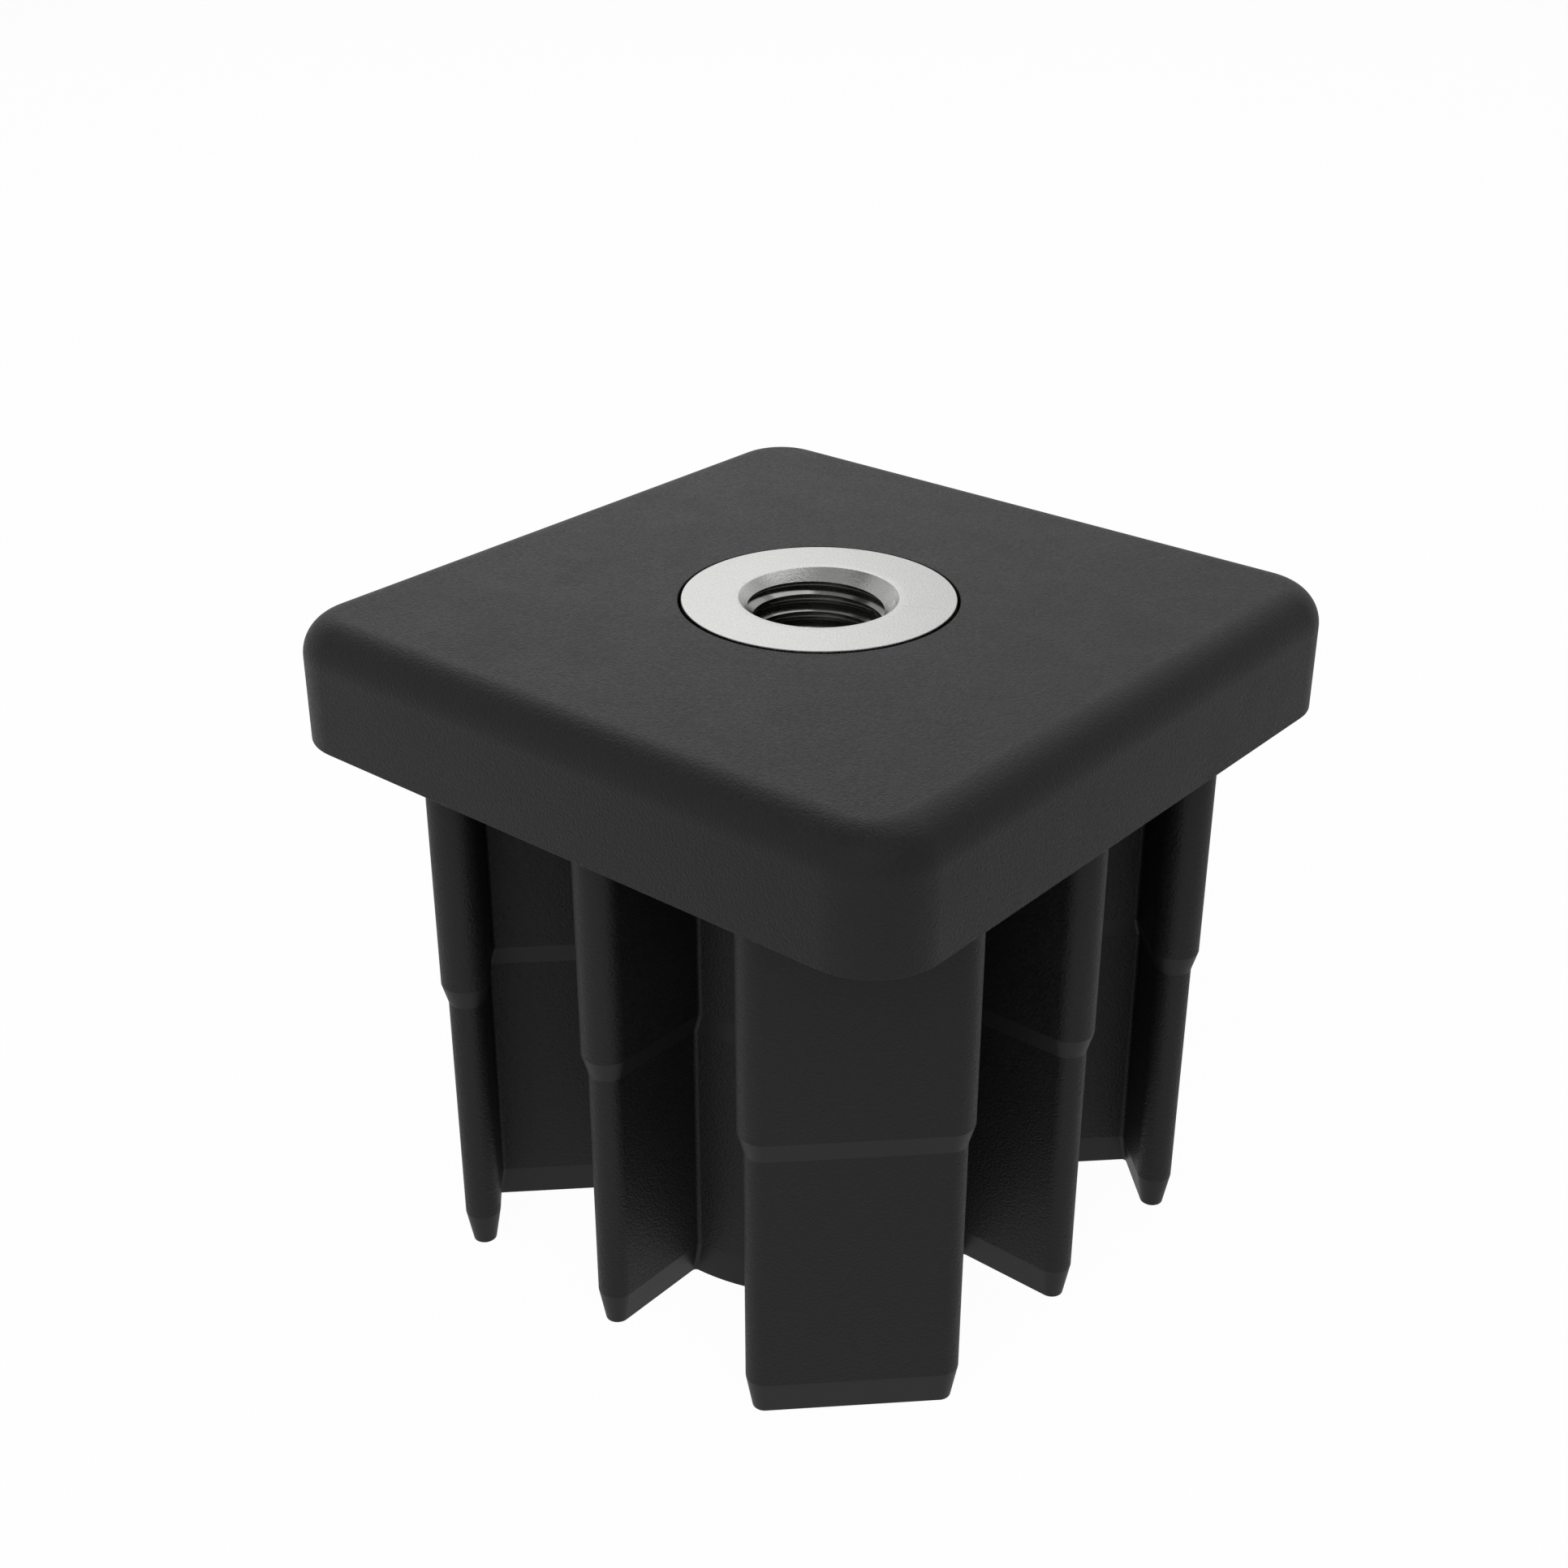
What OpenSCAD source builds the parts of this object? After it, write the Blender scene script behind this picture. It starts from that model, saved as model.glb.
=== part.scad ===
// Threaded insert for the end of a square tube.
// A moulded plug covers and grips the tube's end. A turned steel bush in its middle
// takes the stud of a levelling foot or a castor.
// The origin is on the thread's axis, in the face that rests on the tube's end.
// The head is above that face, and the shank hangs below it into the tube.

/* [Tube] */
// Outer width of the square tube, which the head covers
tube_w = 40; // [36:1:60]
// Wall of the tube
tube_wall = 2; // [1.5:0.25:3]
// Room between the shank's guide stage and the inside of the tube, on each side
guide_gap = 0.13; // [0.05:0.01:0.4]
// How far the grip stage stands past the inside of the tube, on each side
grip_squeeze = 0.2; // [0.05:0.01:0.4]

/* [Head] */
// Height of the head above the tube's end
head_h = 6.8; // [5:0.1:12]
// Radius of the head's upright corners
head_corner_r = 3.8; // [2.5:0.1:6]
// Radius round the head's top edge
head_edge_r = 2.1; // [0.5:0.1:2.4]

/* [Shank] */
// Length of the shank below the head
shank_l = 30; // [26:1:50]
// Length of the grip stage below the head
grip_l = 12.8; // [8:0.1:18]
// Length of the slope between the grip stage and the guide stage
slope_l = 1.2; // [0.6:0.1:3]
// Length of the lead-in at the foot of the shank
lead_l = 2; // [1:0.1:4]
// How far each face draws in over the lead-in
lead_in = 0.35; // [0.1:0.05:0.6]
// Thickness of the fins, webs and pads in the guide stage
rib_t = 1.97; // [1.6:0.01:3]
// Width of the pad across each corner of the tube, over its round ends
pad_w = 11; // [8:0.1:13]
// Diameter of the round boss in the middle
boss_d = 22.7; // [19:0.1:25]
// Radius in the corners where ribs meet the boss and the pads
root_r = 0.25; // [0.1:0.05:0.5]

/* [Bush] */
// Diameter of the steel bush over its plain collars
bush_d = 14.4; // [12:0.1:16]
// Length of the bush
bush_l = 20; // [18:0.5:28]
// Diameter inside the thread's crests
thread_core_d = 6.9; // [5:0.05:8]
// Diameter of the countersink at each end of the thread
mouth_d = 8.4; // [8.1:0.1:10]
// Length of the plain collar at the top of the bush
collar_l = 4; // [2:0.5:5]
// Length of each band of knurling
knurl_l = 5; // [3:0.5:5.5]
// Number of knurl teeth round the bush
knurl_n = 36; // [24:1:48]
// Depth of the knurling
knurl_depth = 0.35; // [0.2:0.05:0.6]
// Width of the locking groove between the bands of knurling
groove_w = 3; // [1.5:0.5:4]
// Depth of the locking groove
groove_depth = 0.9; // [0.4:0.1:1.2]
// Chamfer round the foot of the bush
bush_chamfer = 0.4; // [0.2:0.1:0.6]

/* [Seat] */
// Room between the knurling and the seat
seat_gap = 0.02; // [0.01:0.01:0.05]
// Width of the open ring between the top collar and the seat
ring_w = 0.13; // [0.08:0.01:0.3]
// Chamfer round the mouth of the seat
seat_chamfer = 0.17; // [0.05:0.01:0.4]
// Diameter of the passage for the stud below the bush
passage_d = 9; // [8.5:0.1:11]

/* [Hidden] */
$fn = 96;

// How far solids run into each other where they join, and cuts run past a face
join = 0.5;
past = 0.1;

// Half the tube's inside, and how far the two stages of the shank reach towards it
tube_half = tube_w / 2 - tube_wall;
guide_half = tube_half - guide_gap;
stage_step = guide_gap + grip_squeeze;

// Levels down the shank, and the half thickness of a rib at each
rib_half = rib_t / 2;
grip_half_t = rib_half + stage_step;
foot_half_t = rib_half - lead_in;
z_grip = -grip_l;
z_guide = z_grip - slope_l;
z_lead = lead_l - shank_l;
z_foot = -shank_l;

// Where the ribs start inside the boss, and the centres of a fin's round tip,
// of a pad and of its round ends
rib_start = boss_d / 2 - join;
fin_tip = guide_half - rib_half;
pad_end = pad_w / 2 - rib_half;
pad_pos = fin_tip * sqrt(2) - pad_end;

// Share of the knurling's pitch that the flat top of a tooth takes
tooth_land = 0.3;

// Radii and levels of the boss, the bush and its seat
boss_r = boss_d / 2;
bush_r = bush_d / 2;
seat_r = bush_r + ring_w;
knurl_r = seat_r - seat_gap;
groove_r = bush_r - groove_depth;
z_bush_top = head_h;
z_bush_foot = head_h - bush_l;
z_knurl_top = z_bush_top - collar_l;
z_groove_top = z_knurl_top - knurl_l;
z_groove_foot = z_groove_top - groove_w;
z_knurl_foot = z_groove_foot - knurl_l;

// Section of the head from its middle out to one side: square below, round above
module edge_section(reach) {
    round_pos = [reach - head_edge_r, head_h - head_edge_r];
    difference() {
        square([reach, head_h]);
        difference() {
            translate(round_pos)
                square(head_edge_r + past);
            translate(round_pos)
                circle(r = head_edge_r);
        }
    }
}

// Straight part of the head, which runs between two pairs of corners
module head_bar(corner_pos) {
    translate([-corner_pos, 0, 0])
        rotate([90, 0, 90])
            linear_extrude(height = 2 * corner_pos)
                for (side = [0, 1])
                    mirror([side, 0])
                        edge_section(tube_w / 2);
}

module head() {
    corner_pos = tube_w / 2 - head_corner_r;
    for (turn = [0, 90])
        rotate([0, 0, turn])
            head_bar(corner_pos);
    for (x = [-1, 1], y = [-1, 1])
        translate([x * corner_pos, y * corner_pos, 0])
            rotate_extrude()
                edge_section(head_corner_r);
}

// Half of a rib's section: thick in the grip stage, thinner in the guide stage,
// drawn in at the foot
function rib_side() = [
    [grip_half_t, join],
    [grip_half_t, z_grip],
    [rib_half, z_guide],
    [rib_half, z_lead],
    [foot_half_t, z_foot]
];

function mirrored(points) = [for (i = [len(points) - 1 : -1 : 0]) [-points[i][0], points[i][1]]];

// Straight rib along +X from x = start, with its flat sides facing Y
module rib_run(start, run_l) {
    translate([start, 0, 0])
        rotate([90, 0, 90])
            linear_extrude(height = run_l)
                polygon(concat(rib_side(), mirrored(rib_side())));
}

// Round end of a rib
module rib_end() {
    rotate_extrude()
        polygon(concat([[0, join]], rib_side(), [[0, z_foot]]));
}

module fin() {
    rib_run(rib_start, fin_tip - rib_start);
    translate([fin_tip, 0, 0])
        rib_end();
}

// Web on a diagonal with the pad that it carries across the tube's corner
module corner_pad() {
    rib_run(rib_start, pad_pos - rib_start);
    translate([pad_pos, 0, 0])
        rotate([0, 0, 90]) {
            rib_run(-pad_end, 2 * pad_end);
            for (end = [-1, 1])
                translate([end * pad_end, 0, 0])
                    rib_end();
        }
}

// Material in the corner between a rib's side and the boss
module boss_root(half_t) {
    centre = [sqrt(pow(boss_r + root_r, 2) - pow(half_t + root_r, 2)), half_t + root_r];
    on_boss = centre * boss_r / (boss_r + root_r);
    difference() {
        polygon([
            centre,
            [centre[0], half_t],
            [centre[0], half_t - root_r],
            [on_boss[0] - root_r, half_t - root_r],
            [on_boss[0] - root_r, on_boss[1]],
            on_boss
        ]);
        translate(centre)
            circle(r = root_r);
    }
}

// Material in the corner between a web's side and its pad
module pad_root(half_t) {
    face = pad_pos - half_t;
    difference() {
        translate([face - root_r, half_t - root_r])
            square(2 * root_r);
        translate([face - root_r, half_t + root_r])
            circle(r = root_r);
        translate([face - 2 * root_r, half_t + root_r])
            square(root_r);
    }
}

module roots(half_t) {
    for (turn = [0 : 45 : 315], side = [0, 1])
        rotate([0, 0, turn])
            mirror([0, side, 0]) {
                boss_root(half_t);
                if (turn % 90 == 45)
                    pad_root(half_t);
            }
}

module shank() {
    for (turn = [0 : 90 : 270]) {
        rotate([0, 0, turn])
            fin();
        rotate([0, 0, turn + 45])
            corner_pad();
    }
    translate([0, 0, z_foot])
        cylinder(r = boss_r, h = shank_l + join);
    translate([0, 0, z_grip - past])
        linear_extrude(height = grip_l + join + past)
            roots(grip_half_t);
    translate([0, 0, z_lead - past])
        linear_extrude(height = z_guide - z_lead + 2 * past)
            roots(rib_half);
}

// Space that the bush fills, less the ring of plastic that stands in its locking
// groove, and the passage below it for the stud
module bush_seat() {
    translate([0, 0, z_bush_foot])
        cylinder(r = groove_r + seat_gap, h = bush_l + past);
    translate([0, 0, z_bush_foot])
        cylinder(r = seat_r, h = z_groove_foot + seat_gap - z_bush_foot);
    translate([0, 0, z_groove_top - seat_gap])
        cylinder(r = seat_r, h = z_bush_top + seat_gap - z_groove_top + past);
    translate([0, 0, z_bush_top - seat_chamfer])
        cylinder(r1 = seat_r, r2 = seat_r + seat_chamfer + past, h = seat_chamfer + past);
    translate([0, 0, z_foot - past])
        cylinder(r = passage_d / 2, h = z_bush_foot - z_foot + 2 * past);
}

module body() {
    color([0.16, 0.16, 0.17])
        difference() {
            union() {
                head();
                shank();
            }
            bush_seat();
        }
}

// Band of straight knurling: flat-topped teeth with V valleys
module knurl(foot) {
    pitch = 360 / knurl_n;
    tooth = [
        [knurl_r - knurl_depth, 0],
        [knurl_r, (1 - tooth_land) / 2],
        [knurl_r, (1 + tooth_land) / 2]
    ];
    translate([0, 0, foot])
        linear_extrude(height = knurl_l)
            polygon([
                for (i = [0 : knurl_n - 1], p = tooth)
                    p[0] * [cos((i + p[1]) * pitch), sin((i + p[1]) * pitch)]
            ]);
}

// Cone that opens the thread at one end
module mouth() {
    mouth_l = (mouth_d - thread_core_d) / 2;
    translate([0, 0, -mouth_l])
        cylinder(r1 = thread_core_d / 2, r2 = mouth_d / 2, h = mouth_l);
    cylinder(r = mouth_d / 2, h = past);
}

module bush() {
    color([0.78, 0.78, 0.77])
        difference() {
            union() {
                translate([0, 0, z_knurl_top])
                    cylinder(r = bush_r, h = collar_l);
                knurl(z_groove_top);
                translate([0, 0, z_bush_foot])
                    cylinder(r = groove_r, h = bush_l - collar_l + past);
                knurl(z_knurl_foot);
                translate([0, 0, z_bush_foot + bush_chamfer])
                    cylinder(r = bush_r, h = z_knurl_foot - z_bush_foot - bush_chamfer);
                translate([0, 0, z_bush_foot])
                    cylinder(r1 = bush_r - bush_chamfer, r2 = bush_r, h = bush_chamfer);
            }
            translate([0, 0, z_bush_foot - past])
                cylinder(r = thread_core_d / 2, h = bush_l + 2 * past);
            translate([0, 0, z_bush_top])
                mouth();
            translate([0, 0, z_bush_foot])
                mirror([0, 0, 1])
                    mouth();
        }
}

body();
bush();
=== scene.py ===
"""The looks of a threaded insert for the end of a square tube.

A black moulded plug covers and grips the tube's end. A turned steel bush with a fine
metric thread sits in the middle of its head and stands a hair proud of it. Lengths are
in metres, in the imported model's frame: the origin is on the thread's axis, in the plane
of the shoulder that rests on the tube.
"""

import logging
import math
from collections.abc import Callable, Iterator, Sequence
from contextlib import contextmanager
from dataclasses import dataclass
from enum import Enum
from itertools import pairwise

import bmesh
import bpy
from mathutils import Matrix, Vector


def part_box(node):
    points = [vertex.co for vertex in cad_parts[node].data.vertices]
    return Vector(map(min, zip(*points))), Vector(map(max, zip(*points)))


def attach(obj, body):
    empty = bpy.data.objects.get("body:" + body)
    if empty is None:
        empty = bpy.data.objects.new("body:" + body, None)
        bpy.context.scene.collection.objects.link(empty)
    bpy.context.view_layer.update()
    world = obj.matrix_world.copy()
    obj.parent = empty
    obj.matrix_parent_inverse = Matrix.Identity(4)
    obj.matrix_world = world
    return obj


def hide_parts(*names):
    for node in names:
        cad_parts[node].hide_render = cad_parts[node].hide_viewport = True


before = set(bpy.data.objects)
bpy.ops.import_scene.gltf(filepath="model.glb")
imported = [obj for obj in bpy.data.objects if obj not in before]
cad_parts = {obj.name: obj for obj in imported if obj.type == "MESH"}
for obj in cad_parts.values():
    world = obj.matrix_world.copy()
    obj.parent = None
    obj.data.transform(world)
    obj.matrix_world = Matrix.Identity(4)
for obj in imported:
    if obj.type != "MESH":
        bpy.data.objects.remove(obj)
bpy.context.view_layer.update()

log = logging.getLogger("insert")

MM = 0.001
ORIGIN = (0.0, 0.0, 0.0)
SAME_PLACE = 1e-6
SMOOTH_BELOW = math.radians(29)
WHITE = (1.0, 1.0, 1.0, 1.0)


class Element(Enum):
    """What a selection is made of, with the name of its list in a mesh."""

    VERT = "verts"
    EDGE = "edges"
    FACE = "faces"


class Plane(Enum):
    """The plane that a pen draws in, with the axis about which it turns an arc."""

    LEVEL = (0.0, 0.0, 1.0)
    UPRIGHT = (0.0, -1.0, 0.0)


class Moulded(Enum):
    """The places of the plug's two finishes in its material slots."""

    GRAINED = 0
    SMOOTH = 1


class Machined(Enum):
    """The places of the bush's two finishes in its material slots; the thread's tapped steel is
    also darker, as painted shade for the hole's depths.
    """

    BLASTED = 0
    TAPPED = 1


def make_active(piece: bpy.types.Object) -> None:
    """Select one piece alone and make it the active one.

    Args:
        piece: The object to work on next.
    """
    bpy.ops.object.select_all(action="DESELECT")
    piece.select_set(True)
    bpy.context.view_layer.objects.active = piece


@contextmanager
def editing(piece: bpy.types.Object) -> Iterator[None]:
    """Hold a piece open in edit mode, with nothing selected at first.

    Args:
        piece: The mesh object to edit.
    """
    make_active(piece)
    bpy.ops.object.mode_set(mode="EDIT")
    bpy.ops.mesh.select_mode(type=Element.VERT.name)
    bpy.ops.mesh.select_all(action="DESELECT")
    yield
    bpy.ops.object.mode_set(mode="OBJECT")


def pick(piece: bpy.types.Object, element: Element, test: Callable[..., bool]) -> None:
    """Select the elements of a piece in edit mode that pass a test, and no others.

    Args:
        piece: The object that is open in edit mode.
        element: Whether vertices, edges or faces are tested.
        test: A function of one element, true for those to select.
    """
    bpy.ops.mesh.select_all(action="DESELECT")
    bpy.ops.mesh.select_mode(type=element.name)
    mesh = bmesh.from_edit_mesh(piece.data)
    for item in getattr(mesh, element.value):
        if test(item):
            item.select_set(True)
    mesh.select_flush_mode()
    bmesh.update_edit_mesh(piece.data)


def edge_at(height: float) -> Callable[[bmesh.types.BMEdge], bool]:
    """Make a test for edges that lie level at a height."""
    return lambda edge: all(abs(vert.co.z - height) < SAME_PLACE for vert in edge.verts)


def is_open(edge: bmesh.types.BMEdge) -> bool:
    """Tell whether an edge is on the border of its mesh."""
    return len(edge.link_faces) < 2


def join(name: str, pieces: Sequence[bpy.types.Object]) -> bpy.types.Object:
    """Join several meshes into one object, under a new name.

    Args:
        name: The name of the joined object.
        pieces: The objects to join, of which the first one stays.

    Returns:
        The joined object.
    """
    make_active(pieces[0])
    for piece in pieces:
        piece.select_set(True)
    bpy.ops.object.join()
    joined = bpy.context.view_layer.objects.active
    joined.name = name
    joined.data.name = name
    return joined


def apply_modifier(piece: bpy.types.Object, kind: str, **settings: object) -> None:
    """Add a modifier to a piece, set it up and apply it.

    Args:
        piece: The object that gets the modifier.
        kind: The modifier's type.
        settings: The modifier's own settings, by name.
    """
    make_active(piece)
    modifier = piece.modifiers.new(kind.lower(), kind)
    for key, value in settings.items():
        setattr(modifier, key, value)
    bpy.ops.object.modifier_apply(modifier=modifier.name)


def cut(piece: bpy.types.Object, tool: bpy.types.Object) -> None:
    """Cut the shape of a tool out of a piece, and remove the tool.

    Args:
        piece: The blank to cut.
        tool: The closed mesh to subtract.
    """
    apply_modifier(piece, "BOOLEAN", object=tool, operation="DIFFERENCE", solver="EXACT")
    bpy.data.objects.remove(tool)


def face_out_and_shade(piece: bpy.types.Object) -> None:
    """Turn a finished mesh's faces outwards and shade it smooth between its edges.

    Args:
        piece: The finished mesh object.
    """
    with editing(piece):
        bpy.ops.mesh.select_all(action="SELECT")
        bpy.ops.mesh.normals_make_consistent(inside=False)
    make_active(piece)
    bpy.ops.object.shade_smooth_by_angle(angle=SMOOTH_BELOW)
    apply_modifier(piece, "WEIGHTED_NORMAL", keep_sharp=True, mode="FACE_AREA")


@dataclass(frozen=True)
class Corner:
    """A point of a drawn line, with the radius that rounds it in so many steps."""

    along: float
    up: float
    radius: float = 0.0
    steps: int = 4

    @property
    def point(self) -> Vector:
        """The corner's place in the plane of the drawing."""
        return Vector((self.along, self.up))


class Pen:
    """Draws a chain of edges in one plane, as the outline of a section or a profile."""

    def __init__(self, name: str, plane: Plane, height: float = 0.0) -> None:
        """Start a new mesh with no geometry.

        Args:
            name: The name of the object that the pen draws.
            plane: The plane to draw in.
            height: The level of the drawing, for a level plane.
        """
        self.plane = plane
        self.height = height
        self.at = Vector((0.0, 0.0))
        mesh = bpy.data.meshes.new(name)
        self.piece = bpy.data.objects.new(name, mesh)
        bpy.context.scene.collection.objects.link(self.piece)

    def place(self, point: Vector) -> Vector:
        """Give a drawn point's place in the frame."""
        if self.plane is Plane.LEVEL:
            return Vector((point.x, point.y, self.height))
        return Vector((point.x, 0.0, point.y))

    def start(self, along: float, up: float) -> None:
        """Set the pen down on a new single vertex.

        Args:
            along: The first coordinate in the plane.
            up: The second coordinate in the plane.
        """
        self.at = Vector((along, up))
        bpy.ops.mesh.select_all(action="DESELECT")
        bpy.ops.mesh.primitive_plane_add(size=MM, location=self.place(self.at))
        bpy.ops.mesh.merge(type="CENTER")

    def line_to(self, along: float, up: float) -> None:
        """Draw a straight edge from where the pen is.

        Args:
            along: The first coordinate of the edge's end.
            up: The second coordinate of the edge's end.
        """
        end = Vector((along, up))
        if (end - self.at).length < SAME_PLACE:
            return
        move = self.place(end) - self.place(self.at)
        bpy.ops.mesh.extrude_region_move(TRANSFORM_OT_translate={"value": move})
        self.at = end

    def arc(self, centre: Vector, turn: float, steps: int) -> None:
        """Draw an arc from where the pen is.

        Args:
            centre: The arc's centre in the plane.
            turn: The angle of the arc, in radians, positive to the left.
            steps: The number of edges in the arc.
        """
        bpy.ops.mesh.spin(
            steps=steps, angle=-turn, center=self.place(centre), axis=self.plane.value
        )
        spoke = self.at - centre
        cosine, sine = math.cos(turn), math.sin(turn)
        self.at = centre + Vector(
            (cosine * spoke.x - sine * spoke.y, sine * spoke.x + cosine * spoke.y)
        )

    def line_through(self, corners: Sequence[Corner]) -> None:
        """Draw a line from its first corner to its last, round at those with a radius.

        Args:
            corners: The corners of the line in order.
        """
        self.start(corners[0].along, corners[0].up)
        for before, corner, after in zip(corners, corners[1:], corners[2:]):
            if corner.radius:
                self.round_off(before, corner, after)
            else:
                self.line_to(corner.along, corner.up)
        self.line_to(corners[-1].along, corners[-1].up)

    def round_off(self, before: Corner, corner: Corner, after: Corner) -> None:
        """Draw up to a corner and round it.

        Args:
            before: The corner before this one.
            corner: The corner with the radius.
            after: The corner after this one.
        """
        inward = (corner.point - before.point).normalized()
        outward = (after.point - corner.point).normalized()
        turn = math.atan2(inward.cross(outward), inward.dot(outward))
        tangent = corner.point - inward * corner.radius * math.tan(abs(turn) / 2)
        left = Vector((-inward.y, inward.x))
        self.line_to(tangent.x, tangent.y)
        self.arc(tangent + left * math.copysign(corner.radius, turn), turn, corner.steps)


def turned(name: str, corners: Sequence[Corner], steps: int) -> bpy.types.Object:
    """Turn a profile once about the thread's axis.

    Args:
        name: The name of the turned object.
        corners: The corners of the profile, out from the axis and up.
        steps: The number of faces round the axis.

    Returns:
        The turned mesh, whose ends are open unless the profile meets the axis.
    """
    pen = Pen(name, Plane.UPRIGHT)
    with editing(pen.piece):
        pen.line_through(corners)
        bpy.ops.mesh.select_all(action="SELECT")
        bpy.ops.mesh.spin(steps=steps, angle=math.tau, center=ORIGIN, axis=(0.0, 0.0, 1.0))
        bpy.ops.mesh.select_all(action="SELECT")
        bpy.ops.mesh.remove_doubles(threshold=SAME_PLACE)
        bpy.ops.mesh.normals_make_consistent(inside=False)
    return pen.piece


class NodeSheet:
    """Adds and joins the nodes of one node tree."""

    def __init__(self, tree: bpy.types.NodeTree) -> None:
        """Keep the tree to work on."""
        self.tree = tree

    def add(self, kind: str, operation: str = "", **values: object) -> bpy.types.Node:
        """Add a node, set its values and join its inputs.

        Args:
            kind: The node's type name.
            operation: The operation of a maths node.
            values: A value or an output socket for each input, by name with
                underscores for spaces, or by place as i0, i1 and so on.

        Returns:
            The new node.
        """
        node = self.tree.nodes.new(kind)
        if operation:
            node.operation = operation
        for name, value in values.items():
            key = int(name[1:]) if name[1:].isdigit() else name.replace("_", " ")
            if isinstance(value, bpy.types.NodeSocket):
                self.tree.links.new(value, node.inputs[key])
            else:
                node.inputs[key].default_value = value
        return node

    def math(self, operation: str, first: object, second: object = 0.0) -> bpy.types.NodeSocket:
        """Add a maths node and give its result."""
        return self.add("ShaderNodeMath", operation, i0=first, i1=second).outputs[0]


class Grain:
    """The fine leather grain of a textured mould, as one node group for all finishes.

    The grain is a soft swell with creases between its cells. A slow drift bends the
    cells, and a wide cloud changes the tone a little from place to place. Frequencies
    are shares of one cell's, and the drift's reach is in cells. The tone seldom leaves
    the span from its low to its high value.
    """

    NAME = "mould_grain"
    NOISE_MIDDLE = (0.5, 0.5, 0.5)
    DRIFT_FREQUENCY = 0.6
    DRIFT_REACH = 1.1
    SWELL_OCTAVES = 2.0
    CLOUD_FREQUENCY = 0.05
    CLOUD_SHARE = 0.2
    TONE_LOW = 0.35
    TONE_HIGH = 0.65

    @classmethod
    def group(cls) -> bpy.types.NodeTree:
        """Give the node group, built the first time.

        Returns:
            The group, with inputs for the size of a cell and the weight of the
            creases, and outputs for the height and the tone of the surface.
        """
        if cls.NAME in bpy.data.node_groups:
            return bpy.data.node_groups[cls.NAME]
        tree = bpy.data.node_groups.new(cls.NAME, "ShaderNodeTree")
        tree.interface.new_socket("Cell Size", in_out="INPUT", socket_type="NodeSocketFloat")
        tree.interface.new_socket("Creases", in_out="INPUT", socket_type="NodeSocketFloat")
        tree.interface.new_socket("Height", in_out="OUTPUT", socket_type="NodeSocketFloat")
        tree.interface.new_socket("Tone", in_out="OUTPUT", socket_type="NodeSocketFloat")
        cls._fill(NodeSheet(tree))
        return tree

    @classmethod
    def _fill(cls, sheet: NodeSheet) -> None:
        """Lay out the nodes of the group.

        Args:
            sheet: The sheet of the group's own tree.
        """
        given = sheet.add("NodeGroupInput").outputs
        place = sheet.add("ShaderNodeTexCoord").outputs["Object"]
        scale = sheet.math("DIVIDE", 1.0, given["Cell Size"])
        slow = sheet.math("MULTIPLY", scale, cls.DRIFT_FREQUENCY)
        drift = sheet.add("ShaderNodeTexNoise", Vector=place, Scale=slow, Detail=0.0)
        shift = sheet.add(
            "ShaderNodeVectorMath", "SUBTRACT", i0=drift.outputs["Color"], i1=cls.NOISE_MIDDLE
        )
        reach = sheet.math("MULTIPLY", given["Cell Size"], cls.DRIFT_REACH)
        sway = sheet.add("ShaderNodeVectorMath", "SCALE", i0=shift.outputs[0], Scale=reach)
        bent = sheet.add("ShaderNodeVectorMath", "ADD", i0=place, i1=sway.outputs[0]).outputs[0]
        cells = sheet.add("ShaderNodeTexVoronoi", Vector=bent, Scale=scale)
        swell = sheet.add("ShaderNodeTexNoise", Vector=bent, Scale=scale, Detail=cls.SWELL_OCTAVES)
        hollow = sheet.math("MULTIPLY", cells.outputs["Distance"], given["Creases"])
        height = sheet.math("SUBTRACT", swell.outputs["Fac"], hollow)
        wide = sheet.math("MULTIPLY", scale, cls.CLOUD_FREQUENCY)
        cloud = sheet.add("ShaderNodeTexNoise", Vector=place, Scale=wide)
        clouded = sheet.math("MULTIPLY", cloud.outputs["Fac"], cls.CLOUD_SHARE)
        grained = sheet.math("MULTIPLY", swell.outputs["Fac"], 1.0 - cls.CLOUD_SHARE)
        tone = sheet.math("ADD", clouded, grained)
        sheet.add("NodeGroupOutput", Height=height, Tone=tone)


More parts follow.
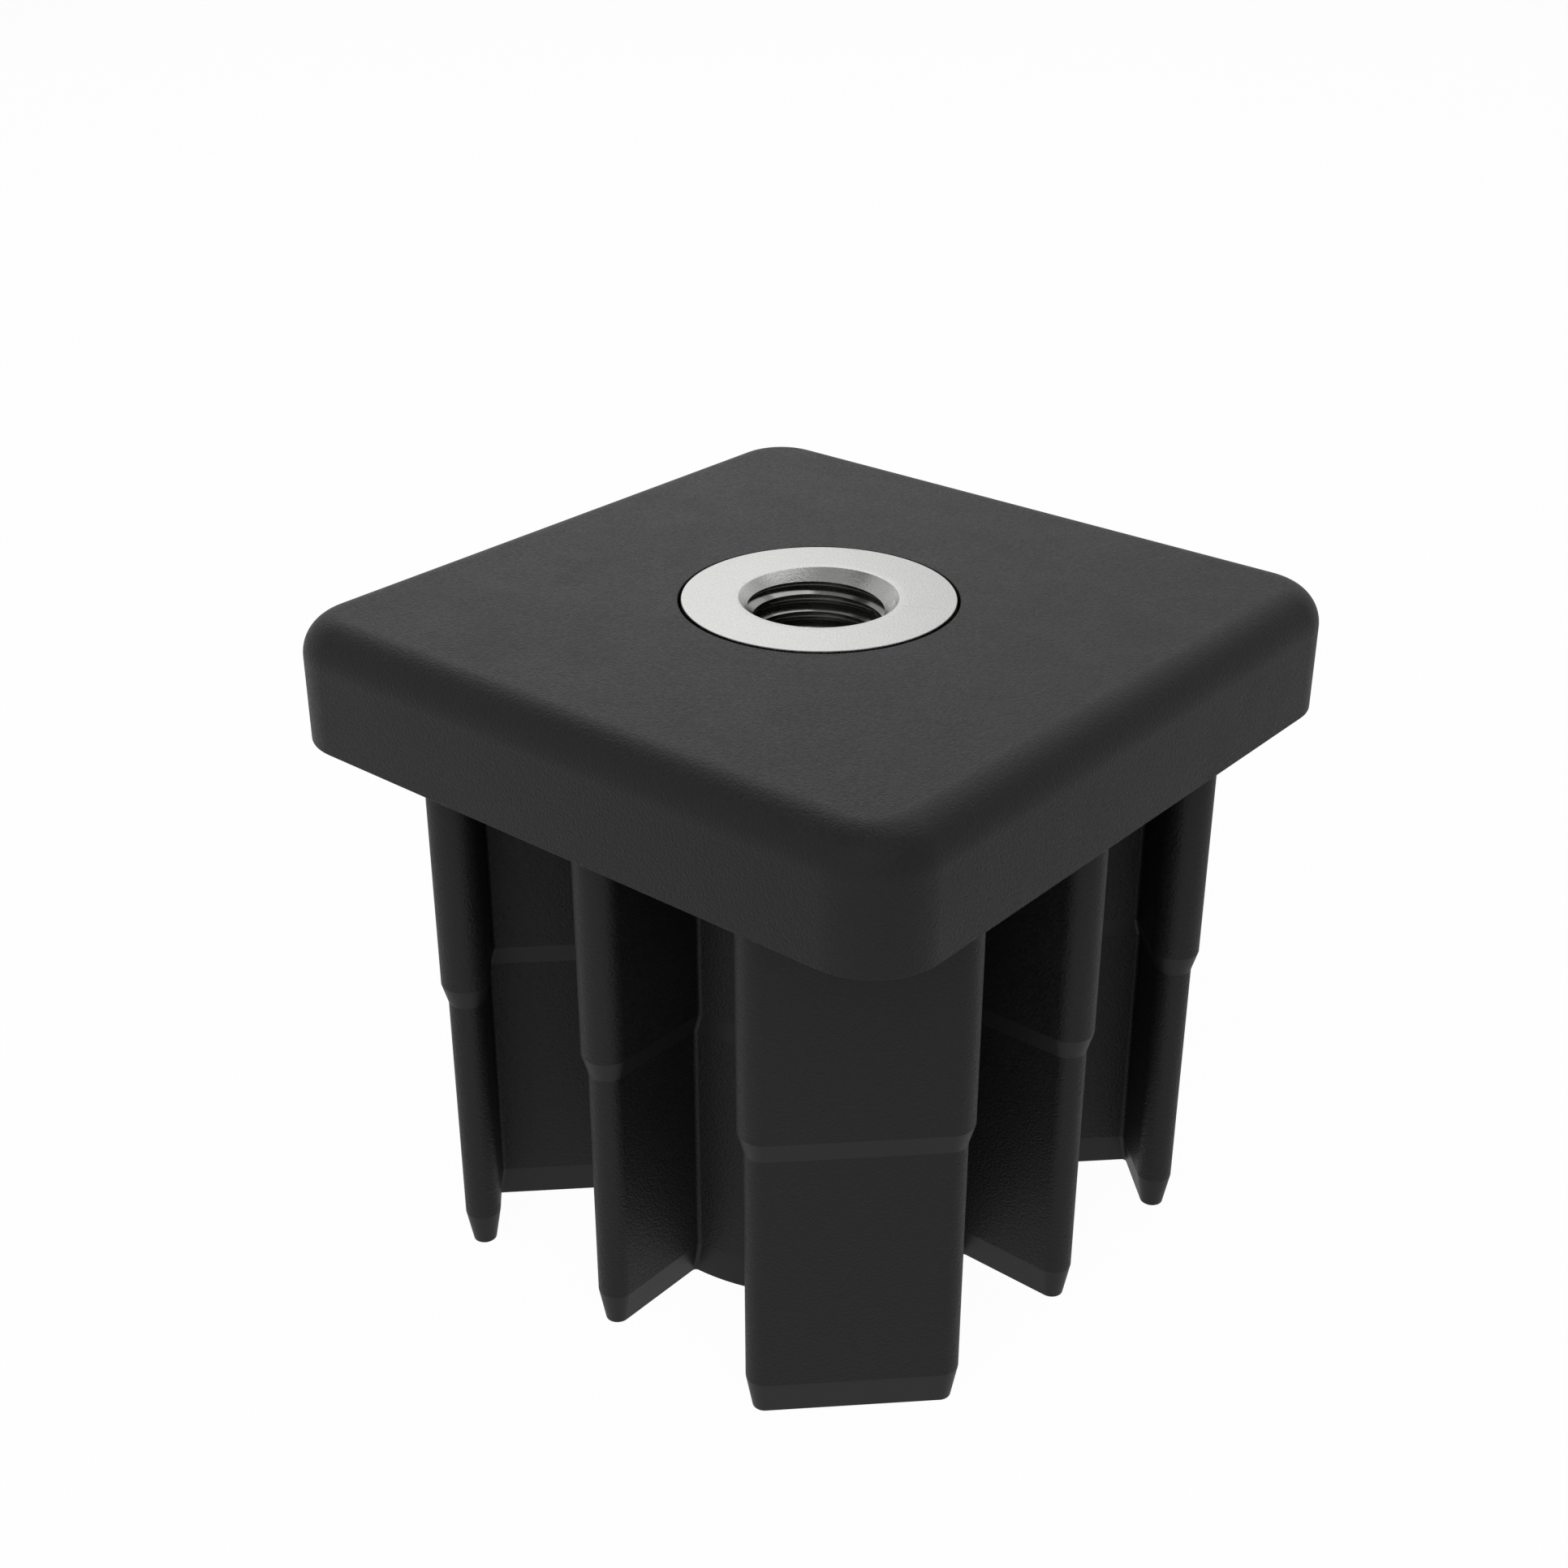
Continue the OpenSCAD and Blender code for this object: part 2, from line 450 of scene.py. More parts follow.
@dataclass(frozen=True)
class Finish:
    """What the surface finishes of the insert have in common.

    Colours and roughness run from a low tone of the grain to a high one. A cell's size
    and the depth of the relief are lengths.
    """

    name: str
    dark: tuple[float, float, float]
    light: tuple[float, float, float]
    shine: tuple[float, float]
    cell: float
    creases: float
    depth: float

    def material(self) -> bpy.types.Material:
        """Build the material of this finish.

        Returns:
            A material with colour, roughness and relief from its nodes.
        """
        material = bpy.data.materials.new(self.name)
        material.use_nodes = True
        sheet = NodeSheet(material.node_tree)
        shader = material.node_tree.nodes["Principled BSDF"]
        grain = sheet.add("ShaderNodeGroup")
        grain.node_tree = Grain.group()
        grain.inputs["Cell Size"].default_value = self.cell
        grain.inputs["Creases"].default_value = self.creases
        colour = sheet.add("ShaderNodeValToRGB", Fac=grain.outputs["Tone"])
        ends = ((Grain.TONE_LOW, self.dark), (Grain.TONE_HIGH, self.light))
        for element, (tone, shade) in zip(colour.color_ramp.elements, ends):
            element.position = tone
            element.color = (*shade, 1.0)
        rough = sheet.add("ShaderNodeMapRange", Value=grain.outputs["Tone"])
        rough.inputs["From Min"].default_value = Grain.TONE_LOW
        rough.inputs["From Max"].default_value = Grain.TONE_HIGH
        rough.inputs["To Min"].default_value = self.shine[0]
        rough.inputs["To Max"].default_value = self.shine[1]
        relief = sheet.add("ShaderNodeBump", Height=grain.outputs["Height"])
        relief.inputs["Distance"].default_value = self.depth
        links = material.node_tree.links
        links.new(colour.outputs["Color"], shader.inputs["Base Color"])
        links.new(rough.outputs["Result"], shader.inputs["Roughness"])
        links.new(relief.outputs["Normal"], shader.inputs["Normal"])
        self.tune(shader)
        return material

    def tune(self, shader: bpy.types.Node) -> None:
        """Set what is the same all over the surface, on the shader itself."""


@dataclass(frozen=True)
class MouldedPlastic(Finish):
    """Black plastic as it leaves the mould."""

    gloss: float = 0.28

    def tune(self, shader: bpy.types.Node) -> None:
        """Set the strength of the plastic's reflections."""
        shader.inputs["Specular IOR Level"].default_value = self.gloss


@dataclass(frozen=True)
class Steel(Finish):
    """Plain steel, blasted or as the tap leaves it. The tapped steel's darker colour is painted
    shade for the depths of the thread.
    """

    def tune(self, shader: bpy.types.Node) -> None:
        """Make the shader a metal."""
        shader.inputs["Metallic"].default_value = 1.0


GRAINED_PLASTIC = MouldedPlastic(
    name="black_grained_plastic",
    dark=(0.0054, 0.0054, 0.0055),
    light=(0.0084, 0.0084, 0.0085),
    shine=(0.41, 0.55),
    cell=0.14 * MM,
    creases=0.5,
    depth=0.031 * MM,
)
SMOOTH_PLASTIC = MouldedPlastic(
    name="black_smooth_plastic",
    dark=(0.0064, 0.0064, 0.0066),
    light=(0.0086, 0.0086, 0.0088),
    shine=(0.40, 0.46),
    cell=0.15 * MM,
    creases=0.2,
    depth=0.004 * MM,
)
BLASTED_STEEL = Steel(
    name="blasted_steel",
    dark=(0.54, 0.54, 0.531),
    light=(0.60, 0.60, 0.59),
    shine=(0.24, 0.30),
    cell=0.09 * MM,
    creases=0.3,
    depth=0.010 * MM,
)
# Painted shade: the thread's steel is darker than the blasted steel so that the hole's depths look
# shaded; its lower roughness is the tap's own finish.
TAPPED_STEEL_PAINTED_SHADE = Steel(
    name="tapped_steel",
    dark=(0.34, 0.34, 0.333),
    light=(0.38, 0.38, 0.372),
    shine=(0.14, 0.18),
    cell=0.12 * MM,
    creases=0.1,
    depth=0.001 * MM,
)


@dataclass(frozen=True)
class Level:
    """One section through the shank."""

    height: float
    half_rib: float
    boss_r: float


@dataclass
class Plug:
    """The moulded plug: a square head over a stepped and ribbed shank.

    The sizes repeat the solid's, apart from the small breaks of its edges and the bush's
    seat, which is a hair wider and sharper for the dark ring that shows round the bush.
    """

    corner_r: float = 3.8 * MM
    top_edge_r: float = 2.1 * MM
    low_edge_r: float = 0.08 * MM
    grip_l: float = 12.8 * MM
    slope_l: float = 1.2 * MM
    lead_l: float = 2.0 * MM
    lead_in: float = 0.35 * MM
    guide_half: float = 17.87 * MM
    stage_step: float = 0.33 * MM
    rib_t: float = 1.97 * MM
    pad_w: float = 11.0 * MM
    boss_r: float = 11.35 * MM
    root_r: float = 0.25 * MM
    foot_break: float = 0.06 * MM
    seat_r: float = 7.37 * MM
    seat_chamfer: float = 0.03 * MM
    ring_r: float = 6.32 * MM
    ring_top: float = -2.22 * MM
    ring_foot: float = -5.18 * MM
    seat_foot: float = -13.2 * MM
    passage_r: float = 4.5 * MM
    corner_steps: int = 24
    top_edge_steps: int = 20
    low_edge_steps: int = 3
    tip_steps: int = 16
    root_steps: int = 8
    boss_steps: int = 12
    round_steps: int = 144

    def __post_init__(self) -> None:
        """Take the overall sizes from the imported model."""
        low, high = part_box("body")
        self.head_half = high.x
        self.head_h = high.z
        self.foot = low.z
        self.fin_tip = self.guide_half - self.rib_t / 2
        self.pad_end = (self.pad_w - self.rib_t) / 2
        self.pad_pos = self.fin_tip * math.sqrt(2) - self.pad_end

    def levels(self) -> list[Level]:
        """List the sections that the shank is drawn through, from the head down."""
        guide = self.rib_t / 2
        grip = guide + self.stage_step
        tip = guide - self.lead_in
        small = self.foot_break
        return [
            Level(0.0, grip, self.boss_r),
            Level(-self.grip_l, grip, self.boss_r),
            Level(-self.grip_l - self.slope_l, guide, self.boss_r),
            Level(self.foot + self.lead_l, guide, self.boss_r),
            Level(self.foot + small, tip + small * self.lead_in / self.lead_l, self.boss_r),
            Level(self.foot, tip - small, self.boss_r - small),
        ]

    def head(self) -> bpy.types.Object:
        """Shape the head's walls from a cube, open at its top and at its underside.

        Returns:
            The head's side walls with their round corners and edges.
        """
        width = 2 * self.head_half
        bpy.ops.mesh.primitive_cube_add(size=1.0, location=(0.0, 0.0, self.head_h / 2))
        head = bpy.context.view_layer.objects.active
        head.scale = (width, width, self.head_h)
        make_active(head)
        bpy.ops.object.transform_apply(location=True, rotation=True, scale=True)
        with editing(head):
            pick(head, Element.EDGE, lambda edge: abs(edge.verts[0].co.z - edge.verts[1].co.z) > MM)
            bpy.ops.mesh.bevel(offset=self.corner_r, segments=self.corner_steps, affect="EDGES")
            pick(head, Element.EDGE, edge_at(self.head_h))
            bpy.ops.mesh.bevel(
                offset=self.top_edge_r, segments=self.top_edge_steps, affect="EDGES"
            )
            pick(head, Element.EDGE, edge_at(0.0))
            bpy.ops.mesh.bevel(
                offset=self.low_edge_r, segments=self.low_edge_steps, affect="EDGES"
            )
            pick(head, Element.FACE, lambda face: abs(face.normal.z) > 1 - SAME_PLACE)
            bpy.ops.mesh.delete(type="ONLY_FACE")
        return head

    def section(self, level: Level) -> bpy.types.Object:
        """Draw the shank's outline at one level.

        One eighth is drawn, from the tip of a fin to the middle of a pad. It is then
        mirrored, and turned twice, to go all the way round.

        Args:
            level: The height of the section and the thickness of its ribs.

        Returns:
            The closed outline.
        """
        half = level.half_rib
        root = self.root_r
        root_centre = Vector(
            (math.sqrt((level.boss_r + root) ** 2 - (half + root) ** 2), half + root)
        )
        root_turn = math.atan2(root_centre.x, root_centre.y)
        boss_from = math.atan2(root_centre.y, root_centre.x)
        eighth = math.pi / 4
        pad_face = self.pad_pos - half
        pen = Pen("section", Plane.LEVEL, level.height)
        with editing(pen.piece):
            pen.start(self.fin_tip + half, 0.0)
            pen.arc(Vector((self.fin_tip, 0.0)), math.pi / 2, self.tip_steps)
            pen.line_to(root_centre.x, half)
            pen.arc(root_centre, -root_turn, self.root_steps)
            pen.arc(Vector((0.0, 0.0)), eighth - 2 * boss_from, self.boss_steps)
            pen.arc(on_diagonal(root_centre.x, -root_centre.y), -root_turn, self.root_steps)
            pen.line_to(*on_diagonal(pad_face - root, -half))
            pen.arc(on_diagonal(pad_face - root, -half - root), -math.pi / 2, self.root_steps)
            pen.line_to(*on_diagonal(pad_face, -self.pad_end))
            pen.arc(on_diagonal(self.pad_pos, -self.pad_end), math.pi, 2 * self.tip_steps)
            pen.line_to(*on_diagonal(self.pad_pos + half, 0.0))
            bpy.ops.mesh.select_all(action="SELECT")
            bpy.ops.mesh.duplicate()
            bpy.ops.transform.resize(value=(1.0, -1.0, 1.0), center_override=ORIGIN)
            for turn in (math.pi, math.pi / 2):
                bpy.ops.mesh.select_all(action="SELECT")
                bpy.ops.mesh.duplicate()
                bpy.ops.transform.rotate(value=turn, orient_axis="Z", center_override=ORIGIN)
            bpy.ops.mesh.select_all(action="SELECT")
            bpy.ops.mesh.remove_doubles(threshold=SAME_PLACE)
        return pen.piece

    def shank(self) -> bpy.types.Object:
        """Bridge the sections into the shank's walls, with crisp edges between its stages.

        Returns:
            The walls of the boss, fins, webs and pads, open at both ends.
        """
        levels = self.levels()
        shank = join("shank", [self.section(level) for level in levels])
        with editing(shank):
            for upper, lower in pairwise(levels):
                at_upper, at_lower = edge_at(upper.height), edge_at(lower.height)
                pick(shank, Element.EDGE, lambda edge: at_upper(edge) or at_lower(edge))
                bpy.ops.mesh.bridge_edge_loops()
            for level in levels[1:4]:
                pick(shank, Element.EDGE, edge_at(level.height))
                bpy.ops.mesh.mark_sharp()
        return shank

    def seat(self) -> bpy.types.Object:
        """Turn the walls of the bush's seat, its locking ring and the passage below."""
        edge = self.foot_break
        return turned(
            "seat",
            [
                Corner(self.seat_r + self.seat_chamfer, self.head_h),
                Corner(self.seat_r, self.head_h - self.seat_chamfer),
                Corner(self.seat_r, self.ring_top),
                Corner(self.ring_r, self.ring_top),
                Corner(self.ring_r, self.ring_foot),
                Corner(self.seat_r, self.ring_foot),
                Corner(self.seat_r, self.seat_foot),
                Corner(self.passage_r, self.seat_foot),
                Corner(self.passage_r, self.foot + edge),
                Corner(self.passage_r + edge, self.foot),
            ],
            self.round_steps,
        )

    def is_sloped(self, face: bmesh.types.BMFace) -> bool:
        """Tell whether a face is on the slope between the stages or on the lead-in."""
        height = face.calc_center_median().z
        on_slope = -self.grip_l - self.slope_l < height < -self.grip_l
        on_lead = self.foot < height < self.foot + self.lead_l
        return on_slope or on_lead

    def build(self) -> bpy.types.Object:
        """Make the plug and dress it.

        Returns:
            The finished plug.
        """
        plug = join("plug", [self.head(), self.shank(), self.seat()])
        with editing(plug):
            for height in (self.head_h, 0.0, self.foot):
                level = edge_at(height)
                pick(plug, Element.EDGE, lambda edge: level(edge) and is_open(edge))
                bpy.ops.mesh.fill(use_beauty=False)
        plug.data.materials.append(GRAINED_PLASTIC.material())
        plug.data.materials.append(SMOOTH_PLASTIC.material())
        with editing(plug):
            pick(plug, Element.FACE, self.is_sloped)
            plug.active_material_index = Moulded.SMOOTH.value
            bpy.ops.object.material_slot_assign()
        face_out_and_shade(plug)
        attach(plug, "root")
        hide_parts("body")
        return plug


def on_diagonal(along: float, across: float) -> Vector:
    """Give the place of a point that is measured along and across the diagonal.

    Args:
        along: The distance from the axis along the diagonal.
        across: The distance to the left of the diagonal.

    Returns:
        The point in the frame's own directions.
    """
    return Vector((along - across, along + across)) / math.sqrt(2)


@dataclass
class Bush:
    """The turned steel bush with its countersunk fine thread.

    The outside repeats the solid's sizes. The thread, the runout of the knurling, the
    small radii and the height by which it stands proud are only here.
    """

    proud: float = 0.06 * MM
    collar_r: float = 7.2 * MM
    knurl_r: float = 7.31 * MM
    edge_r: float = 0.06 * MM
    rim_r: float = 0.1 * MM
    chamfer: float = 0.4 * MM
    knurl_top: float = 2.8 * MM
    knurl_l: float = 5.0 * MM
    knurl_depth: float = 0.35 * MM
    knurl_runout: float = 0.3 * MM
    teeth: int = 36
    groove_w: float = 3.0 * MM
    groove_r: float = 6.3 * MM
    pitch: float = 1.0 * MM
    crest_r: float = 3.45 * MM
    thread_r: float = 4.0 * MM
    crest_edge_r: float = 0.04 * MM
    root_edge_r: float = 0.07 * MM
    edge_steps: int = 3
    thread_edge_steps: int = 2
    weld: float = 0.004 * MM
    crest_height: float = 5.09 * MM
    mouth_r: float = 4.2 * MM
    cone_tip_r: float = 2.0 * MM
    cutter_past: float = 0.5 * MM
    flank_slope: float = math.tan(math.radians(30))
    root_share: float = 1 / 16
    spare_turns: int = 4
    thread_steps: int = 96

    def __post_init__(self) -> None:
        """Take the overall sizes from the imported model."""
        low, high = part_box("bush")
        self.top = high.z + self.proud
        self.foot = low.z

    def blank(self) -> bpy.types.Object:
        """Turn the bush's outside and roll the knurling into its two bands.

        Returns:
            The closed blank, with no hole yet.
        """
        groove_top = self.knurl_top - self.knurl_l
        groove_foot = groove_top - self.groove_w
        knurl_foot = groove_foot - self.knurl_l
        runout = self.knurl_runout
        blank = turned(
            "steel_bush",
            [
                Corner(0.0, self.top),
                Corner(self.collar_r, self.top, self.edge_r, self.edge_steps),
                Corner(self.collar_r, self.knurl_top),
                Corner(self.knurl_r, self.knurl_top),
                Corner(self.knurl_r, self.knurl_top - runout),
                Corner(self.knurl_r, groove_top + runout),
                Corner(self.knurl_r, groove_top),
                Corner(self.groove_r, groove_top),
                Corner(self.groove_r, groove_foot),
                Corner(self.knurl_r, groove_foot),
                Corner(self.knurl_r, groove_foot - runout),
                Corner(self.knurl_r, knurl_foot + runout),
                Corner(self.knurl_r, knurl_foot),
                Corner(self.collar_r, knurl_foot),
                Corner(self.collar_r, self.foot + self.chamfer),
                Corner(self.collar_r - self.chamfer, self.foot),
                Corner(0.0, self.foot),
            ],
            4 * self.teeth,
        )
        bands = (
            (groove_top + runout, self.knurl_top - runout),
            (knurl_foot + runout, groove_foot - runout),
        )
        with editing(blank):
            pick(blank, Element.VERT, lambda vert: self.is_valley(vert, bands))
            draw_in = 1 - self.knurl_depth / self.knurl_r
            bpy.ops.transform.resize(value=(draw_in, draw_in, 1.0), center_override=ORIGIN)
        return blank

    def is_valley(
        self, vert: bmesh.types.BMVert, bands: Sequence[tuple[float, float]]
    ) -> bool:
        """Tell whether a vertex of the blank is at the bottom of the knurling.

        Args:
            vert: The vertex to test.
            bands: The lowest and highest level of each band of knurling.

        Returns:
            True for one vertex in each tooth's pitch, inside the bands.
        """
        place = vert.co
        outside = abs(place.xy.length - self.knurl_r) < SAME_PLACE
        in_band = any(low - SAME_PLACE < place.z < high + SAME_PLACE for low, high in bands)
        angle = math.atan2(place.y, place.x)
        tooth = math.tau / self.teeth
        off_valley = abs(angle - round(angle / tooth) * tooth) * self.knurl_r
        return outside and in_band and off_valley < SAME_PLACE

    def tap(self) -> bpy.types.Object:
        """Make the tap that cuts the thread, as one helical surface with closed ends.

        Returns:
            A closed mesh, longer than the bush at both ends.
        """
        depth = self.thread_r - self.crest_r
        flank = depth * self.flank_slope
        root_half = self.pitch * self.root_share
        crest_half = self.pitch / 2 - root_half - flank
        turns = math.ceil((self.top - self.foot) / self.pitch) + self.spare_turns
        middle = self.crest_height - (turns - self.spare_turns + 1) * self.pitch
        root = (self.root_edge_r, self.thread_edge_steps)
        crest = (self.crest_edge_r, self.thread_edge_steps)
        pen = Pen("tap", Plane.UPRIGHT)
        with editing(pen.piece):
            pen.line_through(
                [
                    Corner(self.thread_r, middle - self.pitch / 2),
                    Corner(self.thread_r, middle - crest_half - flank, *root),
                    Corner(self.crest_r, middle - crest_half, *crest),
                    Corner(self.crest_r, middle + crest_half, *crest),
                    Corner(self.thread_r, middle + crest_half + flank, *root),
                    Corner(self.thread_r, middle + self.pitch / 2),
                ]
            )
        apply_modifier(
            pen.piece,
            "SCREW",
            angle=math.tau,
            screw_offset=self.pitch,
            iterations=turns,
            steps=self.thread_steps,
            render_steps=self.thread_steps,
        )
        with editing(pen.piece):
            bpy.ops.mesh.select_all(action="SELECT")
            bpy.ops.mesh.remove_doubles(threshold=self.weld)
            for is_end in (lambda vert: vert.co.z > self.top, lambda vert: vert.co.z < self.foot):
                pick(pen.piece, Element.EDGE, lambda edge: is_open(edge) and is_end(edge.verts[0]))
                bpy.ops.mesh.extrude_region_move()
                bpy.ops.mesh.merge(type="CENTER")
            bpy.ops.mesh.select_all(action="SELECT")
            bpy.ops.mesh.normals_make_consistent(inside=False)
        return pen.piece

    def countersink(self, face: float, outward: float) -> bpy.types.Object:
        """Turn the cone that opens the thread at one end.

        Args:
            face: The height of the bush's end face.
            outward: 1 for the upper end and -1 for the lower one.

        Returns:
            The closed cutter.
        """
        past = self.cutter_past
        deep = self.mouth_r - self.cone_tip_r
        return turned(
            "countersink",
            [
                Corner(0.0, face + outward * past),
                Corner(self.mouth_r + past, face + outward * past),
                Corner(self.mouth_r + past, face),
                Corner(self.mouth_r, face, self.rim_r),
                Corner(self.cone_tip_r, face - outward * deep),
                Corner(0.0, face - outward * deep),
            ],
            self.thread_steps,
        )

    def is_shade_painted_thread(self, face: bmesh.types.BMFace) -> bool:
        """Tell whether a face is on the thread, inside the two countersinks, where the darker steel
        paints shade into the hole.
        """
        middle = face.calc_center_median()
        reach = middle.xy.length
        inside = min(self.top - middle.z, middle.z - self.foot)
        return reach < self.thread_r + SAME_PLACE and inside > self.mouth_r - reach + self.rim_r

    def build(self) -> bpy.types.Object:
        """Make the bush and dress it.

        Returns:
            The finished bush.
        """
        bush = self.blank()
        cut(bush, self.countersink(self.top, 1.0))
        cut(bush, self.countersink(self.foot, -1.0))
        cut(bush, self.tap())
        bush.data.materials.append(BLASTED_STEEL.material())
        bush.data.materials.append(TAPPED_STEEL_PAINTED_SHADE.material())
        # The thread's faces get the darker tapped steel: painted shade for the hole's depths.
        with editing(bush):
            pick(bush, Element.FACE, self.is_shade_painted_thread)
            bush.active_material_index = Machined.TAPPED.value
            bpy.ops.object.material_slot_assign()
        face_out_and_shade(bush)
        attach(bush, "root")
        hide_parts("bush")
        return bush


@dataclass(frozen=True)
class Paper:
    """White paper that the camera and reflections see as more even than it is lit.

    The camera sees white. Reflections see a level that goes from left_white to
    right_white across the view, over the reach to each side of the axis. Nothing glows
    within covered_r of the axis, under the object's passage.
    """

    name: str
    evenness: float
    left_white: float
    right_white: float
    reach: float
    covered_r: float = 0.0

    MATT_WHITE = (0.85, 0.85, 0.85, 1.0)
    LEVEL = (1.0, 1.0, 0.0)
    ACROSS = (0.643, 0.766, 0.0)

    def material(self) -> bpy.types.Material:
        """Build the paper's material.

        Returns:
            A matt white, mixed with an even glow for the camera and in reflections.
            The glow isn't sampled as a lamp.
        """
        material = bpy.data.materials.new(self.name)
        material.use_nodes = True
        tree = material.node_tree
        tree.nodes.clear()
        sheet = NodeSheet(tree)
        path = sheet.add("ShaderNodeLightPath").outputs
        seen = sheet.math("MAXIMUM", path["Is Camera Ray"], path["Is Glossy Ray"])
        seen = sheet.math("MAXIMUM", seen, path["Is Transmission Ray"])
        place = sheet.add("ShaderNodeTexCoord").outputs["Object"]
        spoke = sheet.add("ShaderNodeVectorMath", "MULTIPLY", i0=place, i1=self.LEVEL)
        radius = sheet.add("ShaderNodeVectorMath", "LENGTH", i0=spoke.outputs[0])
        is_clear = sheet.math("GREATER_THAN", radius.outputs["Value"], self.covered_r)
        glow = sheet.math("MULTIPLY", seen, is_clear)
        share = sheet.math("MULTIPLY", glow, self.evenness)
        across = sheet.add("ShaderNodeVectorMath", "DOT_PRODUCT", i0=place, i1=self.ACROSS)
        fall = sheet.add("ShaderNodeMapRange", Value=across.outputs["Value"])
        fall.inputs["From Min"].default_value = -self.reach
        fall.inputs["From Max"].default_value = self.reach
        fall.inputs["To Min"].default_value = self.left_white
        fall.inputs["To Max"].default_value = self.right_white
        level = sheet.math("MAXIMUM", path["Is Camera Ray"], fall.outputs["Result"])
        matt = sheet.add("ShaderNodeBsdfDiffuse", Color=self.MATT_WHITE)
        white = sheet.add("ShaderNodeEmission", Color=WHITE, Strength=level)
        mix = sheet.add("ShaderNodeMixShader", i0=share, i1=matt.outputs[0], i2=white.outputs[0])
        sheet.add("ShaderNodeOutputMaterial", Surface=mix.outputs[0])
        material.cycles.emission_sampling = "NONE"
        return material


@dataclass(frozen=True)
class Lamp:
    """A round soft lamp that points at the object."""

    name: str
    azimuth: float
    elevation: float
    size: float
    power: float
    reflected: bool = True


